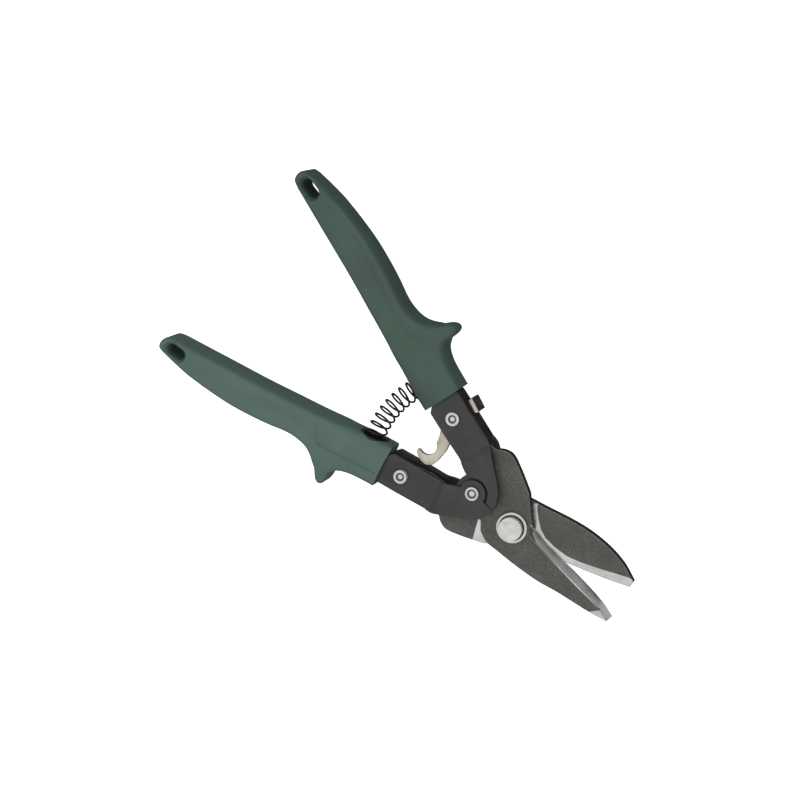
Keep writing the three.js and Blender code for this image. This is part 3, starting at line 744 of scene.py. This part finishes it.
def washer(name, centre, outer, inner, low, high, lip, body, node, turn=UPPER):
    soft = min(0.25, (high - low) * 0.35)
    profile = [(inner, low), (outer - soft, low), (outer, low + soft), (outer, high - soft),
               (outer - soft, high), (outer - soft - lip, high)]
    if lip > LIP_SHOWS:
        profile += [(outer - soft - lip - 0.35, high - 0.22), (inner + 0.3, high - 0.22)]
    profile += [(inner, high - 0.3)]
    made = lathe(name, profile, centre, turn=turn, closed=True)
    give(made, (STEEL, RECESS_SHADE), body, "bright_steel", node)
    if lip > LIP_SHOWS:
        ringed(made, centre, turn, 0, outer - soft - lip + 0.1)


# ---- latch ----
LATCH_IN, LATCH_OUT = 1.0, 3.4
HOOK_R = 4.3                    # the hook's mouth
BOSS_R = 5
TAB_HALF = 5.9                  # the thumb tab's half width, along Z
TAB_CORNER, TAB_ALONG = Vector((-54.1, 32.6)), Vector((6.7, -2.5))
NOTCHES, NOTCH_FIRST, NOTCH_PITCH = 8, 0.75, 0.8
SHADED_KNURL_FROM, SHADED_KNURL_HALF = 0.028, 0.0056          # metres: the ribbed face's lowest y and half width, where the painted shade goes


def latch():
    mouth = polar(TANG, 19.1, -91.5)
    arm_outline = [polar(TANG, BOSS_R, 200), (-55.4, 10.1), (-54.1, 8), (-49, 8), polar(TANG, BOSS_R, 340),
                   (-48.6, 28.9), (-54.2, 31)]
    pin_hole = circle(TANG, TANG_RIVET_R + CLEAR, 32)
    arm = slab("latch", arm_outline, -LATCH_OUT, -LATCH_IN, [pin_hole], 0.35, 1.4)
    boss = slab("boss", circle(TANG, BOSS_R, 48), -LATCH_OUT, -LATCH_IN, [pin_hole], 0.35, 1.4)
    combined(arm, boss, "UNION")
    joggle = slab("joggle", [(-55.4, 10.2), (-54.1, 7.9), (-49, 7.9), (-49, 10.2)], -LATCH_OUT, LATCH_OUT, (),
                  0.4, 1.0)
    combined(arm, joggle, "UNION")
    hook_outline = [(-55.4, 10.2), (-54.1, 8), (-52.9, 5.2), *arc(mouth, HOOK_R, 60, -112, 28),
                    *rounded([(-57.2, -4.6), (-56.8, -6), (-53.2, -8), (-49.5, -8), (-47.2, -6), (-46.4, -2.5),
                              (-46.6, 4), (-47.6, 7.8), (-49, 10.2)], 1.2, 5, closed=False)]
    hook = slab("hook", hook_outline, LATCH_IN, LATCH_OUT, (), 0.4, 1.0, loop_step=0.7)
    combined(arm, hook, "UNION")
    outline = [(-54.8, 30.8), (-48.1, 28.3), (-47.4, 30.1), (-54.1, 32.6)]
    tab = slab("tab", rounded(outline, 0.5, 3), -TAB_HALF, TAB_HALF, (), 0.4, 0.7)
    combined(arm, tab, "UNION")
    along = TAB_ALONG.normalized()
    for k in range(NOTCHES):
        at = TAB_CORNER + along * (NOTCH_FIRST + NOTCH_PITCH * k)
        notch = [tuple(at + along * a + Vector((-along.y, along.x)) * b)
                 for a, b in ((-0.16, 0.5), (0, -0.2), (0.16, 0.5))]
        combined(arm, slab("notch", notch, -7, 7, (), 0.005, 5.0), "DIFFERENCE")
    give(arm, (NICKEL, SHADED_KNURL), "latch", "latch_nickel", "latch_lever")
    # the ribbed outer face of the tab takes the darker nickel, painted shade and a painted dark reflection
    outward = Vector((-along.y, along.x, 0))
    for face in arm.data.polygons:
        high = face.center.y > SHADED_KNURL_FROM and face.normal.dot(outward) > 0.3
        face.material_index = int(high and abs(face.center.z - MID * MM) < SHADED_KNURL_HALF)


# ---- return spring ----
SPRING_R, WIRE_R, SPRING_TURNS = 4.65, 0.5, 9.5
WIRE_SIDES, WIRE_STEPS = 12, 340
SPRING_BOW = -83.0              # the x that the coil's middle is drawn towards


def spring():
    seat = CUP_DEPTH - 0.8 - CLEAR - WIRE_R
    lean = math.radians(CUP_TILT)
    x, y = CUP_FACE[0] + seat * math.sin(lean), CUP_FACE[1] + seat * math.cos(lean)
    t = np.linspace(0, 1, WIRE_STEPS + 1)
    ends, bow = (np.array([x, y, 0]), np.array([x, -y, 0])), np.array([SPRING_BOW, 0, 0])
    u = t[:, None]
    axis = ends[0] * (1 - u) ** 2 + bow * 2 * u * (1 - u) + ends[1] * u ** 2
    ahead = np.gradient(axis, axis=0)
    ahead /= np.linalg.norm(ahead, axis=1)[:, None]
    across = np.stack([-ahead[:, 1], ahead[:, 0], np.zeros(len(t))], 1)
    turned = 2 * np.pi * SPRING_TURNS * u
    line = axis + SPRING_R * (across * np.cos(turned) + np.array([0, 0, 1]) * np.sin(turned))
    tangent = np.gradient(line, axis=0)
    tangent /= np.linalg.norm(tangent, axis=1)[:, None]
    outward = line - axis
    outward -= (outward * tangent).sum(1)[:, None] * tangent
    outward /= np.linalg.norm(outward, axis=1)[:, None]
    beside = np.cross(tangent, outward)
    verts, faces = [], []
    for i in range(len(t)):
        for k in range(WIRE_SIDES):
            angle = 2 * math.pi * k / WIRE_SIDES
            verts.append(line[i] + WIRE_R * (outward[i] * math.cos(angle) + beside[i] * math.sin(angle)))
    for i in range(len(t) - 1):
        for k in range(WIRE_SIDES):
            n = (k + 1) % WIRE_SIDES
            a, b = i * WIRE_SIDES, (i + 1) * WIRE_SIDES
            faces.append((a + k, a + n, b + n, b + k))
    faces.append(tuple(range(WIRE_SIDES))[::-1])
    faces.append(tuple(range(len(t) * WIRE_SIDES - WIRE_SIDES, len(t) * WIRE_SIDES)))
    made = finished("spring_coil", verts, faces)
    give(made, WIRE, None, "spring_steel", "return_spring")
    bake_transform(made)


# ---- assembly ----
for side, turn in (("upper", UPPER), ("lower", LOWER)):
    handle_frame(side, turn)
    grip(side, turn)
    spring_cup(side, turn)
    rivet(f"{side}_tang_pin", TANG, TANG_RIVET_R, RIVET_HEAD_R, TANG_RIVET_NEAR, TANG_RIVET_FAR, RIVET_HEAD,
          TANG_DIMPLE, turn, f"{side}_handle", f"{side}_tang_rivet")
    washer(f"{side}_pin_washer", TANG, *PIN_WASHER, f"{side}_handle", f"{side}_rivet_washer", turn)
rivet("hinge_pin", HINGE, HINGE_RIVET_R, RIVET_HEAD_R, HINGE_RIVET_END, -HINGE_RIVET_END, RIVET_HEAD,
      HINGE_DIMPLE, UPPER, "upper_handle", "handle_rivet")
washer("lever_washer", TANG, *SPACER, "upper_handle", "latch_washer")
washer("tang_washer", TANG, *SPACER, "lower_handle", "tang_spacer", LOWER)

blade("front_jaw_blade", FRONT_EDGE, FRONT_BACK, FRONT_HOLE_R, UPPER, front_paint, [FRONT_DARK],
      "front_jaw", "front_blade")
blade("rear_jaw_blade", REAR_EDGE, REAR_BACK, REAR_HOLE_R, LOWER, rear_paint,
      [REAR_STRIP, REAR_ROOT, REAR_HEEL + REAR_HEEL[:1]], "rear_jaw", "rear_blade")

bolt = button("main_bolt", BOLT, BOLT_HEAD_R, BOLT_SEAT, BOLT_TOP, BOLT_DIMPLE, depth=0.16)
combined(bolt, lathe("shank", [(0, SHANK_LOW), (SHANK_R, SHANK_LOW), (SHANK_R, SHANK_HIGH),
                               (0, SHANK_HIGH)]), "UNION")
combined(bolt, lathe("thread", [(0, THREAD_LOW), (THREAD_END_R, THREAD_LOW), (THREAD_R, -9.6),
                                (THREAD_R, 0), (0, 0)]), "UNION")
give(bolt, STEEL, "front_jaw", "bright_steel", "pivot_bolt")
washer("bolt_washer", BOLT, *HEAD_WASHER, "front_jaw", "front_washer")
washer("nut_washer", BOLT, *NUT_WASHER, "front_jaw", "rear_washer")
nut = slab("lock_nut", circle(BOLT, NUT_FLATS / math.sqrt(3), 6), NUT_LOW, NUT_HIGH,
           [circle(BOLT, NUT_BORE_R, 48)], 0.45, 1.4)
give(nut, STEEL, "front_jaw", "bright_steel", "pivot_nut")

latch()
spring()


# ---- floor, light and camera ----
FLOOR_HALF, FLOOR_HEIGHT, FLOOR_GLOW = 6.0, -0.0003, 0.8        # the first two in metres


def sheet_of(name, size, height, colour):
    mesh = bpy.data.meshes.new(name)
    mesh.from_pydata([(-size, -size, height), (size, -size, height), (size, size, height),
                      (-size, size, height)], [], [(0, 1, 2, 3)])
    made = bpy.data.objects.new(name, mesh)
    made.data.materials.append(surface("pale_floor", colour, colour, (0.9, 0.95), grain=200, bump=0.00001,
                                       specular=0.1, speckle=0.01))
    bpy.context.scene.collection.objects.link(made)
    return made


def softbox(name, place, aim, size, watts):
    data = bpy.data.lights.new(name, "AREA")
    data.shape, data.size, data.energy = "SQUARE", size, watts
    made = bpy.data.objects.new(name, data)
    made.location = place
    made.rotation_euler = (Vector(aim) - Vector(place)).to_track_quat("-Z", "Y").to_euler()
    made.visible_glossy = False
    bpy.context.scene.collection.objects.link(made)


floor = sheet_of("floor", FLOOR_HALF, FLOOR_HEIGHT, (0.92, 0.92, 0.92, 1.0))
glow = floor.active_material.node_tree.nodes["Principled BSDF"].inputs
glow["Emission Color"].default_value = (1.0, 1.0, 1.0, 1.0)
glow["Emission Strength"].default_value = FLOOR_GLOW
floor.visible_diffuse = floor.visible_glossy = False
centre = Vector((-0.06, 0, 0.01))
softbox("key", (-0.35, 0.15, 1.25), centre, 0.9, 3.5)
softbox("fill", (0.3, 0.9, 0.8), centre, 1.2, 2.5)


# the dome's brightness from straight down (0) over the horizon (0.5) to straight up (1)
DOME = ((0.0, 0.05), (0.18, 0.15), (0.34, 0.85), (0.47, 0.5), (0.54, 0.35), (0.72, 0.85), (1.0, 0.95))


def studio_dome():
    """Bright overhead, dim at the horizon, bright where the table lies beside the part, dark beneath it."""
    world = bpy.data.worlds.new("studio")
    world.use_nodes = True
    nodes, link = world.node_tree.nodes, world.node_tree.links.new
    place = nodes.new("ShaderNodeTexCoord")
    split = nodes.new("ShaderNodeSeparateXYZ")
    link(place.outputs["Generated"], split.inputs["Vector"])
    height = nodes.new("ShaderNodeMapRange")
    height.inputs["From Min"].default_value = -1.0
    link(split.outputs["Z"], height.inputs["Value"])
    level = nodes.new("ShaderNodeValToRGB")
    link(height.outputs["Result"], level.inputs["Fac"])
    stops = level.color_ramp.elements
    while len(stops) < len(DOME):
        stops.new(0.5)
    for stop, (where, strength) in zip(stops, DOME):
        stop.position = where
        stop.color = (strength, strength, strength, 1.0)
    seen = nodes.new("ShaderNodeLightPath")
    pick = nodes.new("ShaderNodeMix")
    link(seen.outputs["Is Camera Ray"], pick.inputs["Factor"])
    link(level.outputs["Color"], pick.inputs[NUMBER_A])
    pick.inputs[NUMBER_B].default_value = 1.0
    nodes["Background"].inputs["Color"].default_value = (1.0, 1.0, 1.0, 1.0)
    link(pick.outputs[NUMBER_OUT], nodes["Background"].inputs["Strength"])
    return world


bpy.context.scene.world = studio_dome()
bpy.context.scene.view_settings.view_transform = "Standard"

CAMERA_TILT, CAMERA_TOWARDS, CAMERA_TURN = 20.44, 29.9, 42.63   # degrees
AIM = Vector((0.05336, 0.0583, 0.9))    # the bolt's place from the camera: right, down and ahead, metres
LENS, SENSOR = 86.9, 36.0

spin = math.radians(CAMERA_TURN)
lean = math.radians(CAMERA_TOWARDS)
x_axis = Vector((math.cos(spin), math.sin(spin), 0))
z_axis = Vector((0, 0, -1))
upright = Matrix((x_axis, z_axis.cross(x_axis), z_axis)).transposed()
tilt_axis = Vector((0, 0, 1)).cross(Vector((math.cos(lean), -math.sin(lean), 0)))
to_camera = Matrix.Rotation(math.radians(CAMERA_TILT), 3, tilt_axis) @ upright
place = to_camera.transposed() @ -AIM + Vector((0, 0, MID * MM))
camera = bpy.data.objects.new("camera", bpy.data.cameras.new("camera"))
camera.data.lens, camera.data.sensor_width = LENS, SENSOR
axes = Matrix((to_camera[0], -to_camera[1], -to_camera[2])).transposed().to_4x4()
camera.matrix_world = Matrix.Translation(place) @ axes
bpy.context.scene.collection.objects.link(camera)
bpy.context.scene.camera = camera
